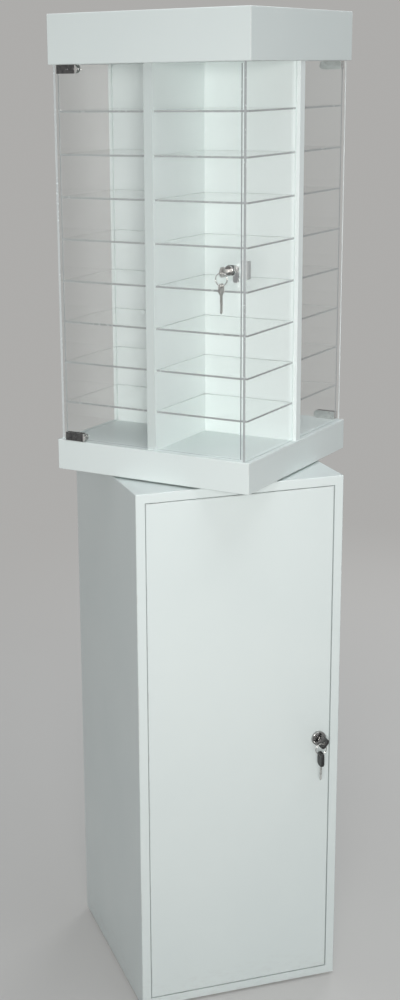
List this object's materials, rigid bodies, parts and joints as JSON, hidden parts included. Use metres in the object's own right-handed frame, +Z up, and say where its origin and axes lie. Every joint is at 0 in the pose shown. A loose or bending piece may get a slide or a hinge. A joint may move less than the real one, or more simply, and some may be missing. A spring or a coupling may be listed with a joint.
{
  "type": "rotating display case",
  "caption": "Tall retail display: a lockable white storage pedestal carrying a square rotating tower of clear acrylic compartments with hinged, keyed doors, clear shelves and a plain cap",
  "frame": {"origin": "on the floor under the turntable's axis, at the middle of the cabinet's footprint", "axes": "+Z up, -Y out of the cabinet's door, +X to the right of someone who faces that door"},
  "size_m": [0.4926, 0.4926, 1.62],
  "materials": {
    "white_lacquered_board": "satin white lacquer",
    "clear_acrylic": "clear, polished edges",
    "zinc_plated_steel": "zinc plated",
    "polished_steel": "polished",
    "nylon": "moulded",
    "beech": "bare",
    "raw_board": "bare",
    "nickel_plated_zinc": "bright plated",
    "dark_nickel": "dark plated",
    "key_steel": "nickel plated",
    "capped_key_steel": "black plastic cap on the bow",
    "ring_wire": "bright wire"
  },
  "bodies": {
    "cabinet": {"cabinet_left_side": "white_lacquered_board", "cabinet_right_side": "white_lacquered_board", "cabinet_top_panel": "white_lacquered_board", "cabinet_bottom_panel": "white_lacquered_board", "cabinet_back_panel": "white_lacquered_board", "cabinet_inner_shelf": "white_lacquered_board", "shelf_cleats": "beech", "floor_pads": "nylon", "carcass_splines": "beech", "cabinet_pivot_bushes": "nylon", "cabinet_strike_plate": "zinc_plated_steel", "turntable_riser": "raw_board", "bearing_lower_plate": "zinc_plated_steel"},
    "cabinet_door": {"cabinet_door_panel": "white_lacquered_board", "cabinet_door_pins": "zinc_plated_steel", "cabinet_lock_barrel": "nickel_plated_zinc", "cabinet_lock_nut": "nickel_plated_zinc"},
    "cabinet_lock": {"cabinet_lock_plug": "nickel_plated_zinc", "cabinet_lock_cam": "zinc_plated_steel", "cabinet_lock_key": "capped_key_steel"},
    "cabinet_keys": {"cabinet_key_ring": "ring_wire", "cabinet_spare_key": "capped_key_steel"},
    "tower": {"bearing_upper_plate": "zinc_plated_steel", "bearing_balls": "polished_steel", "tray_deck": "white_lacquered_board", "tray_skirt": "white_lacquered_board", "cap_soffit": "white_lacquered_board", "cap_fascia": "white_lacquered_board", "cap_top_panel": "white_lacquered_board", "partition_along": "white_lacquered_board", "partition_across": "white_lacquered_board", "left_front_panel": "clear_acrylic", "right_front_panel": "clear_acrylic", "right_rear_panel": "clear_acrylic", "left_rear_panel": "clear_acrylic", "display_lock_strikes": "zinc_plated_steel", "shelf_tier_1": "clear_acrylic", "shelf_tier_2": "clear_acrylic", "shelf_tier_3": "clear_acrylic", "shelf_tier_4": "clear_acrylic", "shelf_tier_5": "clear_acrylic", "shelf_tier_6": "clear_acrylic", "shelf_tier_7": "clear_acrylic", "shelf_tier_8": "clear_acrylic"},
    "front_door": {"front_door_panel": "clear_acrylic", "front_door_hinges": "dark_nickel", "front_lock_barrel": "nickel_plated_zinc", "front_lock_nut": "nickel_plated_zinc"},
    "front_lock": {"front_lock_plug": "nickel_plated_zinc", "front_lock_cam": "zinc_plated_steel", "front_lock_key": "key_steel"},
    "front_keys": {"front_key_ring": "ring_wire", "front_spare_key": "key_steel"},
    "rear_door": {"rear_door_panel": "clear_acrylic", "rear_door_hinges": "dark_nickel", "rear_lock_barrel": "nickel_plated_zinc", "rear_lock_nut": "nickel_plated_zinc"},
    "rear_lock": {"rear_lock_plug": "nickel_plated_zinc", "rear_lock_cam": "zinc_plated_steel"}
  },
  "joints": [
    {"name": "turntable_turn", "type": "hinge", "parent": "cabinet", "child": "tower", "pos_m": [0, 0, 0.931], "axis": [0, 0, 1], "continuous": true},
    {"name": "cabinet_door_hinge", "type": "hinge", "parent": "cabinet", "child": "cabinet_door", "pos_m": [-0.1386, -0.1675, 0.454], "axis": [0, 0, -1], "range_deg": [0, 105]},
    {"name": "cabinet_lock_turn", "type": "hinge", "parent": "cabinet_door", "child": "cabinet_lock", "pos_m": [0.138, -0.175, 0.454], "axis": [0, -1, 0], "range_deg": [0, 90]},
    {"name": "cabinet_keys_swing", "type": "hinge", "parent": "cabinet_lock", "child": "cabinet_keys", "pos_m": [0.13738, -0.2027, 0.45321], "axis": [-0.788, 0, 0.6157], "range_deg": [-15, 80]},
    {"name": "front_door_hinge", "type": "hinge", "parent": "tower", "child": "front_door", "pos_m": [-0.22868, 0.00354, 1.251], "axis": [0, 0, -1], "range_deg": [0, 120]},
    {"name": "front_lock_turn", "type": "hinge", "parent": "front_door", "child": "front_lock", "pos_m": [-0.03758, -0.21857, 1.24685], "axis": [-0.7536, -0.6574, 0], "range_deg": [0, 90]},
    {"name": "front_keys_swing", "type": "hinge", "parent": "front_lock", "child": "front_keys", "pos_m": [-0.05695, -0.23546, 1.24585], "axis": [-0.6574, 0.7536, 0], "range_deg": [-15, 70]},
    {"name": "rear_door_hinge", "type": "hinge", "parent": "tower", "child": "rear_door", "pos_m": [0.22868, -0.00354, 1.251], "axis": [0, 0, -1], "range_deg": [0, 120]},
    {"name": "rear_lock_turn", "type": "hinge", "parent": "rear_door", "child": "rear_lock", "pos_m": [0.03758, 0.21857, 1.24685], "axis": [0.7536, 0.6574, 0], "range_deg": [0, 90]}
  ]
}
